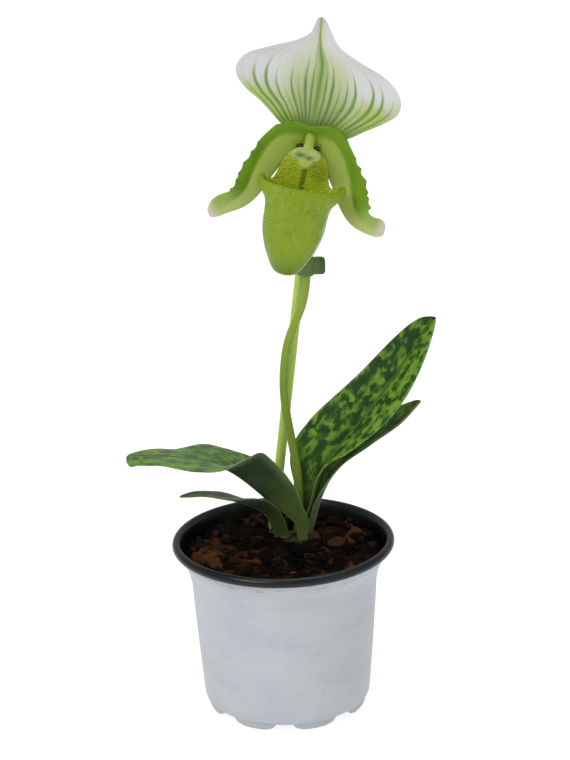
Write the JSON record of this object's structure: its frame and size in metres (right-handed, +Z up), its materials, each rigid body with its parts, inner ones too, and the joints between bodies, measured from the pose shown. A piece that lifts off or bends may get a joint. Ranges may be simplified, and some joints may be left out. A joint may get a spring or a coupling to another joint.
{
  "type": "potted slipper orchid",
  "caption": "Potted slipper orchid: a single flower with a large striped dorsal sepal and a pouch, on a staked stem above mottled strap leaves, in a round nursery pot of bark.",
  "frame": {"origin": "on the axis of the pot, at the surface that the pot stands on", "axes": "+Z up along the pot's axis; -Y is the front, which the flower faces; +X is to the viewer's right"},
  "size_m": [0.1679, 0.12, 0.3754],
  "materials": {
    "pot_plastic": "matte moulded plastic with a glossier dark lip",
    "bark": "rough, dry bark chips",
    "root": "rough, matte",
    "leaf": "leathery, with a low sheen, mottled dark and light green",
    "stem": "finely haired, soft",
    "sepal": "thin, translucent, striped green",
    "petal": "soft, with a low sheen",
    "pouch": "waxy and glossy, with net veins",
    "column": "waxy",
    "stake": "smooth, low sheen",
    "tie_plastic": "soft and matte"
  },
  "bodies": {
    "root": {"pot": "pot_plastic", "substrate": "bark", "rootstock": "root", "leaf_right_large": "leaf", "leaf_right_small": "leaf", "leaf_left_large": "leaf", "leaf_left_small": "leaf", "flower_stem": "stem", "bract": "stem", "dorsal_sepal": "sepal", "synsepal": "petal", "petal_left": "petal", "petal_right": "petal", "pouch": "pouch", "column": "column", "stake": "stake", "tie": "tie_plastic"}
  },
  "joints": []
}
